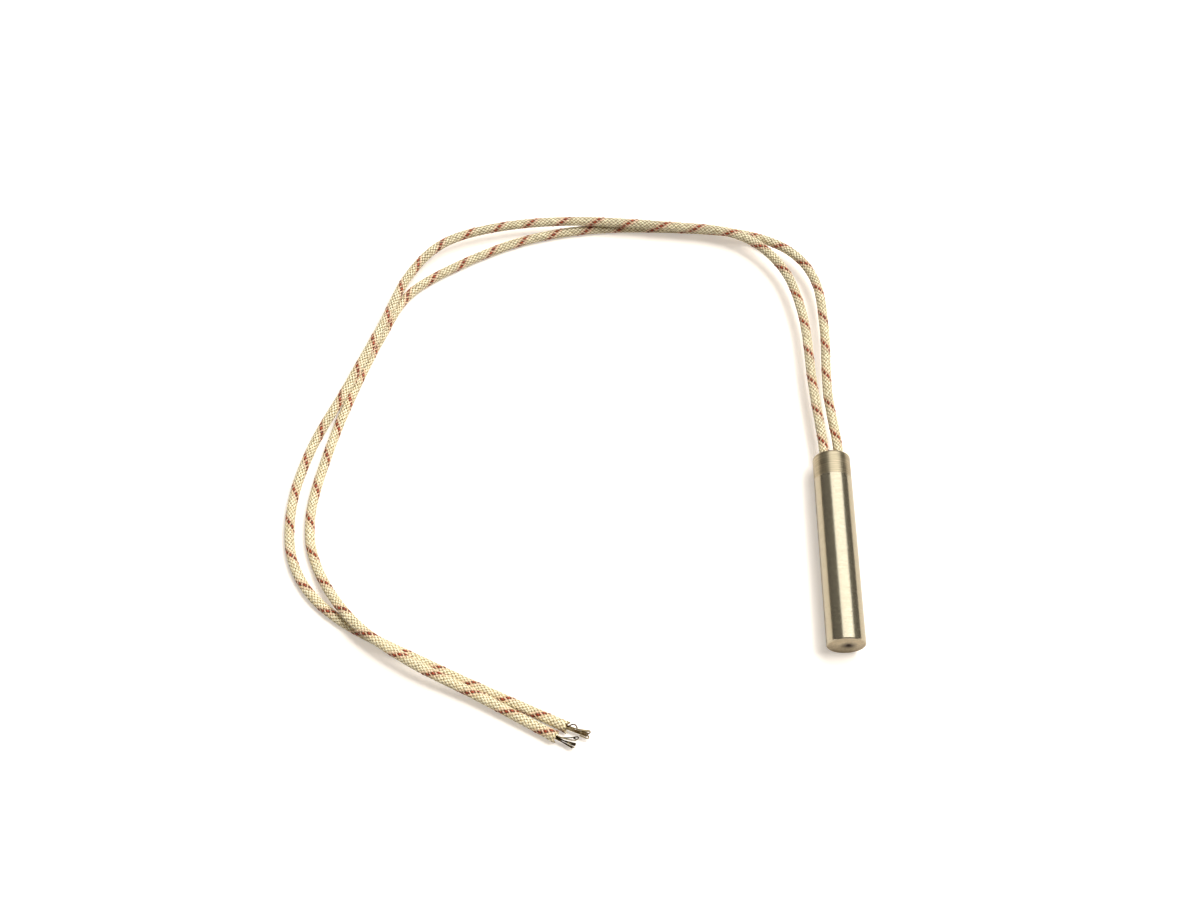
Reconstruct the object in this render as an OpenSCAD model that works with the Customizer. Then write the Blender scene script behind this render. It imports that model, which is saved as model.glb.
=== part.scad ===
// Cartridge heater with two braided leads, lying on a surface.
// The heater's axis runs along Y with the leads at +Y. The origin is on the surface, under the sheath's middle.

/* [Sheath] */
// Outside diameter of the ground sheath
sheath_d = 9.42; // [8.9:0.01:12.7]
// Length of the heater over its two ends
sheath_len = 50.8; // [45:0.1:80]
// Wall of the sheath tube
sheath_wall = 0.9; // [0.75:0.05:1]
// Length of the turned band at the lead end
band_len = 6.5; // [3:0.1:10]
// Depth of the turned band below the ground surface
band_relief = 0.04; // [0.02:0.01:0.1]
// Rounding of the lip at the lead end
lip_round = 0.6; // [0.2:0.05:0.6]
// Bevel round the closed end
end_bevel = 0.2; // [0.1:0.05:0.5]

/* [Closed end] */
// Thickness of the welded end disc
disc_t = 2; // [1:0.1:3]
// Diameter of the dimple in the disc's face
dimple_d = 1.5; // [0.8:0.1:2]
// Depth of the dimple
dimple_depth = 0.6; // [0.3:0.1:0.9]
// Distance of the dimple from the axis, to the right
dimple_shift = 0.5; // [0:0.1:1]

/* [Winding] */
// Thickness of the bottom and top spacers
spacer_t = 1.5; // [1:0.1:2.5]
// Wall of compacted oxide between the winding and the sheath
fill_wall = 0.5; // [0.3:0.05:0.6]
// Diameter of the resistance wire
wire_d = 0.4; // [0.3:0.02:0.45]
// Turns of resistance wire, to the half turn between the two pins
turns = 22.5; // [14.5:1:26.5]
// Diameter of the terminal pins
pin_d = 1; // [0.8:0.05:1.1]
// Depth of the short pin in the core
short_pin_depth = 9; // [5:0.5:15]

/* [Lead end] */
// Distance between the centres of the two leads
lead_pitch = 3.6; // [3.2:0.1:3.8]
// Outside diameter of a braided lead
lead_d = 2.5; // [2:0.1:2.8]
// Diameter of a lead's stranded conductor
conductor_d = 1; // [0.8:0.05:1.1]
// Outside diameter of a splice sleeve
splice_d = 2; // [1.7:0.1:2.4]
// Length of a splice sleeve
splice_len = 7; // [5:0.1:7.5]
// Length of the insulator round the splices
bushing_len = 8; // [7.8:0.1:12]
// Thickness of the end seal
seal_t = 4; // [2:0.1:6]
// Depth of the seal's face below the lip
seal_recess = 0.8; // [0.6:0.1:1.5]
// Diameter of one bare strand
strand_d = 0.32; // [0.25:0.01:0.33]

/* [Fits] */
// Clearance between pieces that are nested inside the sheath
fit_gap = 0.02; // [0.01:0.01:0.05]
// Clearance between the two leads where one lies on the other
lead_clear = 0.1; // [0.05:0.05:0.5]

/* [Hidden] */

// Facets of the round pieces
$fn = 96;
// Extra length by which a cutting shape runs past a face
spill = 1;

// Sides of the swept resistance wire, and its rings in each turn
wire_sides = 5;
rings_per_turn = 14;

// Radii of the sheath and of what fills it
sheath_r = sheath_d / 2;
bore_r = sheath_r - sheath_wall;
band_r = sheath_r - band_relief;
plug_r = bore_r - fit_gap;
fill_r = plug_r - fill_wall;
coil_r = fill_r - fit_gap - wire_d / 2;
core_r = coil_r * cos(180 / rings_per_turn) - wire_d / 2 - fit_gap;
pin_hole_r = pin_d / 2 + fit_gap;
splice_bore_r = max(pin_d, conductor_d) / 2 + fit_gap;

// Stations along the heater, from the closed end
bottom_spacer_z = disc_t;
core_z = bottom_spacer_z + spacer_t;
seal_z = sheath_len - seal_recess - seal_t;
bushing_z = seal_z - bushing_len;
top_spacer_z = bushing_z - spacer_t;
core_len = top_spacer_z - core_z;
splice_z = bushing_z + (bushing_len - splice_len) / 2;
splice_mid = splice_z + splice_len / 2;

// Gap between the pin's end and the conductor's end in a splice
splice_space = 0.5;
// Slot in each end face of the core that takes the wire's tail
slot_w = wire_d + 2 * fit_gap;
slot_depth = wire_d + 2 * fit_gap;

// Each pin and lead lies beside the axis: left is -1 and right is 1
left = -1;
right = 1;
function side_x(side) = side * lead_pitch / 2;

// Routes of the two leads. A row holds x from the axis, y from the lip and a lift: a lead with lift 0 lies
// on the surface and one with lift 1 lies on top of the other lead.
lead_sides = 8;
rings_per_span = 2;
straight_out = 5;
function at_axis(side, y) = [side_x(side), y + sheath_len / 2, sheath_r];
function on_surface(row) = [row.x, row.y + sheath_len / 2, lead_d / 2 + row.z * (lead_d + lead_clear)];
function lead_start(side) = [for (y = [-seal_recess - seal_t, 0, straight_out]) at_axis(side, y)];

left_rows = [
    [-3.2, 22, 1.33], [-4.5, 44, 1.33], [-9.5, 60, 1.33], [-21, 70.5, 1.25], [-42, 74, 1.05],
    [-66, 75.5, 1], [-86, 73.5, 1], [-101, 68, 1], [-110, 57, 1], [-116, 41, 1.03],
    [-124, 21.5, 0.9], [-132, 4.5, 0.05], [-135.5, -13, 0], [-133, -29, 0], [-122, -42, 0],
    [-97.5, -55, 0], [-66.5, -69.5, 0]];
right_rows = [
    [0.5, 20, 1.33], [1, 40, 1.3], [-0.5, 55.5, 1.2], [-7.5, 66, 1], [-21, 72.5, 0.45],
    [-42, 75, 0.05], [-62, 74.5, 0], [-80, 70.5, 0], [-97.5, 62, 0], [-110, 52.5, 0],
    [-116.5, 39, 0], [-122.5, 22, 0], [-127.5, 4, 0], [-130.5, -14, 0], [-128, -28, 0],
    [-118, -43.5, 1], [-104, -54, 1.05], [-87, -62.5, 0.5], [-69, -72, 0.1]];
left_route = concat(lead_start(left), [for (row = left_rows) on_surface(row)]);
right_route = concat(lead_start(right), [for (row = right_rows) on_surface(row)]);

// Bare strands: each row is how far a strand reaches past the braid, how far its tip lies to the right
// and above its root, and the length of a tip that is bent back, to the right or, if negative, to the left
left_tips = [
    [6, -0.3, 0.2, 0], [5.6, 0.1, 0.7, 0], [5.9, -0.8, 0.8, 0], [5.6, -1.2, 0.3, -1.8],
    [5, -0.8, -0.2, 0], [5.2, 0.2, -0.3, 0], [5.8, 0.5, 0.2, 2.2]];
right_tips = [
    [5.5, -0.5, 0, 0], [5.6, -0.25, 0.35, 0], [5.2, -1.1, 0.5, 0], [5, -2, 0.3, 0.8],
    [5.3, -0.75, -0.3, 0], [5.4, -0.1, -0.35, 0], [5.2, 0.2, 0.05, 0]];
strand_sides = 6;
strand_rings = 5;
// Distance of the strands' roots from the braid's end face
root_clear = 3 * fit_gap;
hook_r = 0.35;
hook_rings = 6;

// Colours as seen on the object
steel = [0.72, 0.72, 0.71];
weld_grey = [0.56, 0.54, 0.51];
oxide = [0.93, 0.92, 0.88];
resistance_alloy = [0.45, 0.44, 0.43];
nickel = [0.62, 0.6, 0.56];
cement = [0.86, 0.84, 0.78];
braid = [0.93, 0.89, 0.76];

// Unit vector
function unit(v) = v / norm(v);

// Point on a smooth curve through four points, at share t of the way from b to c
function smooth_point(a, b, c, d, t) =
    (2 * b + (c - a) * t + (2 * a - 5 * b + 4 * c - d) * t * t + (3 * b - a - 3 * c + d) * t * t * t) / 2;

// Smooth path through a list of points, with the same number of steps in each span
function smooth_path(points, steps) =
    let (
        n = len(points),
        all = concat([2 * points[0] - points[1]], points, [2 * points[n - 1] - points[n - 2]])
    )
    concat(
        [for (i = [0 : n - 2], k = [0 : steps - 1])
            smooth_point(all[i], all[i + 1], all[i + 2], all[i + 3], k / steps)],
        [points[n - 1]]);

// The same path kept from sinking below a height
function above(path, low) = [for (p = path) [p.x, p.y, max(p.z, low)]];

// Direction of a path at its point i
function heading(path, i) = unit(path[min(i + 1, len(path) - 1)] - path[max(i - 1, 0)]);

// Ring of points round a path's point, in the plane across its heading
function ring(path, i, r, sides, up) =
    let (
        ahead = heading(path, i),
        across = unit(cross(ahead, up)),
        over = cross(across, ahead)
    )
    [for (k = [0 : sides - 1])
        let (turn = 360 * (k + 0.5) / sides)
        path[i] + r * (cos(turn) * across + sin(turn) * over)];

// Round bar swept along a path that stays clear of the up direction
module swept_bar(path, d, sides, up = [0, 0, 1]) {
    n = len(path);
    points = [for (i = [0 : n - 1]) each ring(path, i, d / 2, sides, up)];
    first = [for (k = [sides - 1 : -1 : 0]) k];
    last = [for (k = [0 : sides - 1]) (n - 1) * sides + k];
    walls = [for (i = [0 : n - 2], k = [0 : sides - 1])
        let (
            a = i * sides + k,
            b = i * sides + (k + 1) % sides
        )
        each [[a, b, b + sides], [a, b + sides, a + sides]]];
    polyhedron(points = points, faces = concat([first, last], walls));
}

// Puts a shape that is built up along Z into its place along Y, its axis at the sheath's height
module lay_down() {
    translate([0, -sheath_len / 2, sheath_r]) rotate([-90, 0, 0]) children();
}

// Round plug that fills the sheath's bore between two stations
module plug(z, length, r = plug_r) {
    translate([0, 0, z]) cylinder(r = r, h = length);
}

// Round hole beside the axis, right through the stretch from z on
module side_hole(side, z, length, r) {
    translate([side_x(side), 0, z - spill]) cylinder(r = r, h = length + 2 * spill);
}

// Round bar beside the axis
module side_bar(side, z, length, d) {
    translate([side_x(side), 0, z]) cylinder(d = d, h = length);
}

// Material outside a rounded corner
module corner_cut(r) {
    difference() {
        square(r + spill);
        circle(r);
    }
}

module sheath() {
    color(steel) lay_down() rotate_extrude() difference() {
        translate([bore_r, 0]) square([sheath_wall, sheath_len]);
        translate([band_r, sheath_len - band_len]) square([spill, band_len + spill]);
        translate([band_r - lip_round, sheath_len - lip_round]) corner_cut(lip_round);
        translate([sheath_r, 0]) rotate(45) square(end_bevel * sqrt(2), center = true);
    }
}

module end_disc() {
    color(weld_grey) lay_down() difference() {
        plug(0, disc_t, bore_r);
        translate([dimple_shift, 0, 0]) cylinder(d1 = dimple_d, d2 = 0, h = dimple_depth);
    }
}

module bottom_spacer() {
    color(oxide) lay_down() plug(bottom_spacer_z, spacer_t);
}

// Slot from a pin hole out through the core's side
module wire_slot(side, z) {
    translate([side > 0 ? side_x(side) : -core_r - spill, -slot_w / 2, z])
        cube([core_r + spill - lead_pitch / 2, slot_w, slot_depth]);
}

module core() {
    color(oxide) lay_down() difference() {
        plug(core_z, core_len, core_r);
        side_hole(left, core_z, core_len, pin_hole_r);
        side_hole(right, core_z, core_len, pin_hole_r);
        wire_slot(right, core_z);
        wire_slot(left, core_z + core_len - slot_depth);
    }
}

// Winding from the right pin at the core's bottom face to the left pin at its top face
module heating_coil() {
    low = core_z + slot_depth / 2;
    high = core_z + core_len - slot_depth / 2;
    tail_r = lead_pitch / 2 + pin_hole_r;
    bend_r = coil_r - wire_d;
    steps = round(turns * rings_per_turn);
    last_turn = turns * 360;
    winding = [for (i = [1 : steps - 1])
        let (turn = last_turn * i / steps)
        [coil_r * cos(turn), coil_r * sin(turn), low + (high - low) * i / steps]];
    path = concat(
        [[tail_r, 0, low], [bend_r, 0, low], [coil_r, wire_d / 4, low]],
        winding,
        [[-coil_r, -wire_d / 4, high], [-bend_r, 0, high], [-tail_r, 0, high]]);
    color(resistance_alloy) lay_down() swept_bar(path, wire_d, wire_sides);
}

module long_pin() {
    color(nickel) lay_down() side_bar(right, core_z, splice_mid - splice_space / 2 - core_z, pin_d);
}

module short_pin() {
    low = core_z + core_len - short_pin_depth;
    color(nickel) lay_down() side_bar(left, low, splice_mid - splice_space / 2 - low, pin_d);
}

module fill() {
    color(oxide) lay_down() difference() {
        plug(core_z, core_len);
        plug(core_z - spill, core_len + 2 * spill, fill_r);
    }
}

module top_spacer() {
    color(oxide) lay_down() difference() {
        plug(top_spacer_z, spacer_t);
        side_hole(left, top_spacer_z, spacer_t, pin_hole_r);
        side_hole(right, top_spacer_z, spacer_t, pin_hole_r);
    }
}

module lead_bushing() {
    color(oxide) lay_down() difference() {
        plug(bushing_z, bushing_len);
        side_hole(left, bushing_z, bushing_len, splice_d / 2 + fit_gap);
        side_hole(right, bushing_z, bushing_len, splice_d / 2 + fit_gap);
    }
}

module splice(side) {
    color(nickel) lay_down() difference() {
        side_bar(side, splice_z, splice_len, splice_d);
        side_hole(side, splice_z, splice_len, splice_bore_r);
    }
}

module conductor(side) {
    low = splice_mid + splice_space / 2;
    color(nickel) lay_down() side_bar(side, low, seal_z - low, conductor_d);
}

module end_seal() {
    color(cement) lay_down() difference() {
        plug(seal_z, seal_t);
        side_hole(left, seal_z, seal_t, lead_d / 2 + fit_gap);
        side_hole(right, seal_z, seal_t, lead_d / 2 + fit_gap);
    }
}

module lead(route) {
    path = above(smooth_path(route, rings_per_span), lead_d / 2);
    color(braid) swept_bar(path, lead_d, lead_sides);
}

// Path of one strand in its own directions: along the lead, to the right and up
function strand_path(root, tip) =
    let (
        bent = tip[3],
        out = [for (k = [0 : strand_rings - 1])
            let (t = k / (strand_rings - 1))
            [tip.x * t, root.x + tip.y * t * t, root.y + tip.z * t * t]],
        end = out[strand_rings - 1],
        turn = [for (k = [1 : hook_rings])
            let (angle = 180 * k / hook_rings)
            end + hook_r * [sin(angle), sign(bent) * (1 - cos(angle)), 0]],
        back = turn[hook_rings - 1] - [abs(bent), 0, 0]
    )
    bent == 0 ? out : concat(out, turn, [back]);

// Roots of the strands: one in the middle and six round it
function strand_root(i) = i == 0 ? [0, 0] : (strand_d + fit_gap) * [cos(60 * i), sin(60 * i)];

module strands(route, tips) {
    n = len(route);
    end = route[n - 1];
    ahead = unit([end.x - route[n - 2].x, end.y - route[n - 2].y, 0]);
    to_right = [ahead.y, -ahead.x, 0];
    color(nickel) for (i = [0 : len(tips) - 1]) {
        path = [for (p = strand_path(strand_root(i), tips[i]))
            end + (p.x + root_clear) * ahead + p.y * to_right + [0, 0, p.z]];
        swept_bar(above(path, strand_d / 2), strand_d, strand_sides);
    }
}

sheath();
end_disc();
bottom_spacer();
core();
heating_coil();
long_pin();
short_pin();
fill();
top_spacer();
lead_bushing();
splice(left);  // left_splice
splice(right);  // right_splice
conductor(left);  // left_conductor
conductor(right);  // right_conductor
end_seal();
lead(left_route);  // left_lead
lead(right_route);  // right_lead
strands(left_route, left_tips);  // left_strands
strands(right_route, right_tips);  // right_strands
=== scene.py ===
"""Cartridge heater with two braided leads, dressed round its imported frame."""

import math

import bpy
import numpy as np
from bpy.props import FloatProperty, FloatVectorProperty, IntProperty, PointerProperty
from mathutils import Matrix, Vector


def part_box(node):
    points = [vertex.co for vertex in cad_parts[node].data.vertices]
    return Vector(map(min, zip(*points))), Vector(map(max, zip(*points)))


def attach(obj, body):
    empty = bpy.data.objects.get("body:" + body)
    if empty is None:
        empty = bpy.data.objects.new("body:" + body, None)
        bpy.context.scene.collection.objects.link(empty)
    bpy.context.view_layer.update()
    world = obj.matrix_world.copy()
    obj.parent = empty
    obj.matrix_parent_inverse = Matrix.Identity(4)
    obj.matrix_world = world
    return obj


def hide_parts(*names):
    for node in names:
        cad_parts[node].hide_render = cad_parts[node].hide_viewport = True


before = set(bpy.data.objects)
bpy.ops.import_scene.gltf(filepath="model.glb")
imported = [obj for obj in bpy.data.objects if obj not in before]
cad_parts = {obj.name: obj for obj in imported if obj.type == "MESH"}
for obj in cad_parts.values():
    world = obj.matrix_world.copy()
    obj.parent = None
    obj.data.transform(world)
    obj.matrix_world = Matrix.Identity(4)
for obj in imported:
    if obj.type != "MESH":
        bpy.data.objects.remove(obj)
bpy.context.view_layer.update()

bl_info = {
    "name": "Cartridge heater",
    "version": (1, 0, 0),
    "blender": (4, 5, 0),
    "location": "View3D > Sidebar > Heater",
    "description": "Ground steel sheath, closed end, braided leads and bare strands of a cartridge heater",
    "category": "Object",
}

MM = 0.001
BODY = "root"

# Places that the frame gives
SHEATH_LOW, SHEATH_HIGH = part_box("sheath")
DISC_LOW, DISC_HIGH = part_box("end_disc")
SEAL_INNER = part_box("end_seal")[0].y
AXIS_Z = (SHEATH_LOW.z + SHEATH_HIGH.z) / 2
SHEATH_R = (SHEATH_HIGH.x - SHEATH_LOW.x) / 2
BORE_R = (DISC_HIGH.x - DISC_LOW.x) / 2
CLOSED_END = SHEATH_LOW.y
LIP = SHEATH_HIGH.y

# View of the photograph: the point on the floor at its centre, and the camera's height angle, distance, lens,
# sensor and nearest sight
VIEW_CENTRE = Vector((-58.3 * MM, 30.5 * MM, 0))
VIEW_ELEVATION = math.radians(60.4)
VIEW_DISTANCE = 410.2 * MM
VIEW_LENS_MM = 48
VIEW_SENSOR_MM = 36
VIEW_NEAR = 0.01

# Leads: how far apart they leave the heater, the clearance where one lies on the other, how far they run
# straight out, and the steps of a route from one row to the next
LEAD_PITCH = 3.6 * MM
LEAD_CLEAR = 0.1 * MM
STRAIGHT_OUT = 5 * MM
ROUTE_STEPS = 40

# Routes of the two leads. A row holds x from the axis and y from the lip, in millimetres, and a lift:
# a lead with lift 0 lies on the surface and one with lift 1 lies on top of the other lead.
LEFT_ROWS = (
    (-3.2, 22, 1.33), (-4.5, 44, 1.33), (-9.5, 60, 1.33), (-21, 70.5, 1.25), (-42, 74, 1.05),
    (-66, 75.5, 1), (-86, 73.5, 1), (-101, 68, 1), (-110, 57, 1), (-116, 41, 1.03),
    (-124, 21.5, 0.9), (-132, 4.5, 0.05), (-135.5, -13, 0), (-133, -29, 0), (-122, -42, 0),
    (-97.5, -55, 0), (-66.5, -69.5, 0),
)
RIGHT_ROWS = (
    (0.5, 20, 1.33), (1, 40, 1.3), (-0.5, 55.5, 1.2), (-7.5, 66, 1), (-21, 72.5, 0.45),
    (-42, 75, 0.05), (-62, 74.5, 0), (-80, 70.5, 0), (-97.5, 62, 0), (-110, 52.5, 0),
    (-116.5, 39, 0), (-122.5, 22, 0), (-127.5, 4, 0), (-130.5, -14, 0), (-128, -28, 0),
    (-118, -43.5, 1), (-104, -54, 1.05), (-87, -62.5, 0.5), (-69, -72, 0.1),
)

# How far each lead is twisted on its way: a length along it in millimetres and the twist there in degrees
LEFT_TWIST = (
    (0, 95), (60, 125), (110, 85), (140, 100), (170, 168),
    (210, 172), (240, 122), (280, 142), (306, 15), (348, 25),
)
RIGHT_TWIST = (
    (0, 20), (60, 40), (110, 120), (140, 87), (170, 110),
    (200, 102), (235, 188), (290, 141), (310, 125), (343, 30),
)

# How much painted shade the braid's gaps take along a lead, most near the heater: a length along a lead in
# millimetres and a share there
END_GAP_SHADE = ((40, 0.4), (100, 0.8), (120, 0.8), (270, 0))

# Section of a flat yarn, as shares of its width and thickness, how lit each of its points is painted, with
# painted shade on its edges and underside, and the room above and below the yarns' middle, as shares of the
# thickness
YARN_SECTION = ((-0.5, 0), (-0.25, 0.42), (0.25, 0.42), (0.5, 0), (0, -0.5))
YARN_PAINTED_LIGHT = (0.45, 1, 1, 0.45, 0)
YARN_ABOVE = 0.45
YARN_BELOW = 0.5

# Way of the yarns: how far their ends pass the lead's end, how they wander and how far a float leans towards
# the lead's direction. Angles are in radians.
PAST_END_MM = (0.1, 0.8)
WANDER = 0.05
WANDER_LENGTH = 3.7 * MM
WANDER_START = (0, 6.3)
FLOAT_LEAN = 0.04
TRACER_LEAN = 0.08

# Cut end of the braid: the length that is loose, and how far it opens on its way and at the very end
LOOSE_LENGTH = 14 * MM
LOOSE_FLARE_MM = 0.1
LAST_FLARE_MM = 0.1
LAST_FLARE_POWER = 12

# Widths of the yarns, as shares: how much narrower a yarn is on top, how far yarns differ, the tracer, and a
# yarn where it crosses the tracer. The tracer also stands proud.
TOP_NARROWING = 0.08
WIDTH_SHARES = (0.94, 1.06)
TRACER_WIDTH = 1.4
TRACER_PROUD = 0.05 * MM
PINCHED_WIDTH = 0.65

# Dye on the yarns beside the tracer and on those that cross it, and how near one of these comes to be dyed or
# drawn narrow, as the cosine of the angle between the two
BESIDE_DYE = 0.5
CROSSED_DYE = 0.75
DYED_FROM = 0.5
DYED_SPAN = 0.4
PINCHED_FROM = 0.9

# How far the painted light on the yarns' tops differs from float to float, and how far the patterns of two
# yarns lie apart
PAINTED_SHEEN_SHARES = (0.5, 1)
PATTERN_STEP = 3

# Core inside the braid, and how far the braid stays above the floor
CORE_SIDES = 8
CORE_STEP = 1.5 * MM
CORE_SHORT = 0.2 * MM
FLOOR_CLEAR = 0.01 * MM

# Bare strands, in millimetres: how far a strand reaches past the braid, how far its tip lies to the right
# and above its root, and the length of a tip that is bent back, to the right or, if negative, to the left
LEFT_TIPS = (
    (5.9, -0.45, 0.2, 0), (5.6, -0.3, 0.5, 0), (5.8, -0.75, 0.6, 0), (5.7, -0.95, 0.35, 1.6),
    (5.3, -0.7, -0.1, 0), (5.6, -0.25, -0.2, 0), (5.9, -0.45, 0.15, 1.8),
)
RIGHT_TIPS = (
    (5.5, -0.5, 0, 0), (5.6, -0.25, 0.35, 0), (5.2, -1.1, 0.5, 0), (5, -2, 0.3, 0.8),
    (5.3, -0.75, -0.3, 0), (5.4, -0.1, -0.35, 0), (5.2, 0.2, 0.05, 0),
)
# Steps along a strand, the clearance at its root, the angles between strands and of their twist, in degrees,
# and the bend of a tip
STRAND_STEPS = 9
ROOT_CLEAR_MM = 0.02
STRAND_APART = 60
STRAND_TWIST = 60
HOOK_R_MM = 0.35
HOOK_STEPS = 6

# Loose yarn ends at the braids' ends: the angle round the lead from its right side over its top, in degrees,
# and how far a yarn end stands past the braid and out from it, in millimetres
LEFT_FRAY = (
    (150, 0.9, 0.15), (118, 0.55, 0.1), (65, 0.4, 0.05), (25, 0.9, 0), (195, 0.6, 0.1),
    (8, 1.5, 0.25), (-12, 1.1, 0.45), (-30, 0.8, 0.5), (-48, 0.5, 0.45),
)
RIGHT_FRAY = ((150, 0.5, 0.1), (95, 0.35, 0.1), (40, 0.5, 0))
# Where a loose yarn starts and comes out, along the lead, how deep it lies there, where it bends, as a share
# of its reach, and its width and taper, as shares
FRAY_START_MM = -1.2
FRAY_EXIT_MM = -0.4
FRAY_DEPTH_MM = 0.16
FRAY_SINK_MM = 0.05
FRAY_BEND = 0.3
FRAY_WIDTH = 0.6
FRAY_TIP = 0.5

# A broken strand that stands up in a loop at the left lead's end: along, to the right and up, in millimetres
BROKEN_STRAND = (
    (0.3, 0.1, 0.3), (1.05, -0.2, 0.65), (1.5, -0.75, 1.1), (2.1, -1, 1.15),
    (2.7, -0.85, 0.75), (2.95, -0.5, 0.35), (3, -0.3, 0.2),
)

# Turned solids: sides round the sheath and the disc, steps round the lip, rings on the disc's face as shares
# of the way to the dimple, and the dimple's profile as shares of its rim and depth
SHEATH_SIDES = 192
DISC_SIDES = 96
LIP_STEPS = 9
FACE_RINGS = (0.25, 0.5, 0.75)
DIMPLE_RINGS = ((1.08, 0), (1, 0.03), (0.9, 0.12), (0.6, 0.42), (0.3, 0.76), (0.12, 0.94), (0.02, 1))
SMOOTH_ANGLE = math.radians(30)

# Lamps: the place, width and height in metres, and the power in watts
WINDOW = ((0.15, 0.47, 0.81), 1, 0.9, 5.1)
SOFT_LIGHT = ((0.85, 0.75, 2.05), 2, 1.5, 74)
KEY_LIGHT = ((0.38, 0.05, 0.87), 0.2, 0.2, 2.5)

# Floor and room: the floor's size, where it turns into the background, its own glow, and the room's strengths
FLOOR_SIZE = 6
FLOOR_NEAR = 0.25
FLOOR_FAR = 0.7
FLOOR_GLOW = 0.5
ROOM_STRENGTH = 0.2
MIRRORED_LOW = 0.13
MIRRORED_HIGH = 0.22


def linear(hex_value):
    """Linear colour of an sRGB hex value."""
    shares = [int(hex_value[i:i + 2], 16) / 255 for i in (1, 3, 5)]
    return [c / 12.92 if c <= 0.04045 else ((c + 0.055) / 1.055) ** 2.4 for c in shares] + [1]


def colour(name, description, hex_value):
    """Colour setting with its default."""
    return FloatVectorProperty(
        name=name, description=description, subtype="COLOR", size=4, min=0, max=1, default=linear(hex_value))


def length(name, description, millimetres):
    """Length setting with its default."""
    return FloatProperty(name=name, description=description, unit="LENGTH", default=millimetres * MM)


class HeaterSizes(bpy.types.PropertyGroup):
    """Sizes of the heater's visible pieces."""

    band_length: length("Band length", "Length of the turned band at the lead end", 6.5)
    band_relief: length("Band relief", "Depth of the turned band below the ground surface", 0.04)
    lip_round: length("Lip rounding", "Rounding of the lip at the lead end", 0.6)
    end_bevel: length("End bevel", "Bevel round the closed end", 0.2)
    dimple_width: length("Dimple width", "Diameter of the dimple in the closed end", 1.5)
    dimple_depth: length("Dimple depth", "Depth of the dimple", 0.6)
    dimple_shift: length("Dimple shift", "Distance of the dimple from the axis, to the right", 0.5)
    lead_width: length("Lead diameter", "Outside diameter of a braided lead", 2.5)
    left_length: length("Left lead length", "Length of the left lead from inside the seal", 348.2)
    right_length: length("Right lead length", "Length of the right lead from inside the seal", 343.6)
    braid_pitch: length("Braid pitch", "Length of lead in which a yarn goes once round", 9.2)
    yarns: IntProperty(name="Yarns", description="Yarns that wind each way round a lead", default=8, min=4)
    yarn_width: length("Yarn width", "Width of a flat yarn", 0.53)
    yarn_thickness: length("Yarn thickness", "Thickness of a flat yarn", 0.17)
    yarn_rise: length("Yarn rise", "Height by which a yarn rises and dips as it passes over and under", 0.07)
    strand_width: length("Strand diameter", "Diameter of one bare strand", 0.32)


class HeaterColours(bpy.types.PropertyGroup):
    """Colours of the heater's visible pieces."""

    ground_steel: colour("Ground steel", "Sheath between its ends", "#C6BCA4")
    speck: colour("Speck", "Small dark specks in the ground steel", "#4A443C")
    turned_steel: colour("Turned steel", "Band at the lead end", "#BBAE92")
    faced_steel: colour("Faced steel", "Closed end's face", "#EEDCB8")
    # Mottling, and painted shade on the low part of the face
    faced_mottle_and_shade: colour("Faced steel, dull", "Mottling and low part of the closed end's face", "#9A8A6E")
    # Brown weld stain round the dimple, and painted shade inside the dimple
    weld_stain_and_shade: colour("Weld stain", "Dark stain in and round the dimple", "#38260F")
    # Painted light and shade: the yarn colour is a top painted lit, the deep colour the painted shade between
    # tops
    yarn: colour("Glass yarn", "Top of a yarn of the braid", "#FDF3CF")
    yarn_painted_shade: colour("Glass yarn, deep", "Braid between the yarns' tops", "#D9C392")
    # Painted shade: the braid's gaps near the heater
    yarn_shaded: colour("Glass yarn, soiled", "Braid between the yarns' tops near the heater", "#866A3C")
    yarn_dyed: colour("Glass yarn, dyed", "Yarn that has rubbed on the tracer", "#F2B494")
    tracer: colour("Tracer yarn", "Top of the coloured yarn", "#A8461E")
    # Painted shade: the tracer's colour where it dips under other yarns
    tracer_painted_shade: colour("Tracer yarn, deep", "Coloured yarn where it dips", "#5C2812")
    strand: colour("Bare strand", "Nickel wire at the leads' ends", "#D8C598")
    strand_dull: colour("Dull strand", "Oxidised stretches of the nickel wire", "#382A16")
    tarnish: colour("Tarnished strand", "Brown stretches of the left lead's strands", "#866B44")
    scorched: colour("Scorched strand", "Broken strand at the left lead's end", "#5C3E22")
    cement: colour("Cement", "Seal round the leads", "#E3DBC8")
    oxide: colour("Magnesium oxide", "Core, fill and insulators", "#EFECE4")
    alloy: colour("Resistance alloy", "Heating coil", "#6E6A66")
    nickel: colour("Nickel", "Pins, splices and conductors", "#B4ADA2")
    floor: colour("Floor", "White surface that the heater lies on", "#EBE4DB")
    room: colour("Room", "Light of the room on the pieces", "#FFF6EC")
    room_mirrored: colour("Room, mirrored", "Room as the steel mirrors it", "#FFFAF0")


def cycles(millimetres):
    """Scale of a pattern whose features are this far apart, for coordinates in metres."""
    return 1 / (millimetres * MM)


def add_node(tree, kind, inputs=None, **settings):
    """Adds a node with its settings. An input that is a socket is linked, and any other is set."""
    node = tree.nodes.new(kind)
    for name, value in settings.items():
        setattr(node, name, value)
    for name, value in (inputs or {}).items():
        if isinstance(value, bpy.types.NodeSocket):
            tree.links.new(value, node.inputs[name])
        else:
            node.inputs[name].default_value = value
    return node


def new_material(name):
    """Empty material with its node tree."""
    material = bpy.data.materials.new(name)
    material.use_nodes = True
    material.node_tree.nodes.clear()
    return material, material.node_tree


def finish_material(tree, shader):
    """Links a shader to the material's output."""
    add_node(tree, "ShaderNodeOutputMaterial", {"Surface": shader.outputs[0]})


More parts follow.
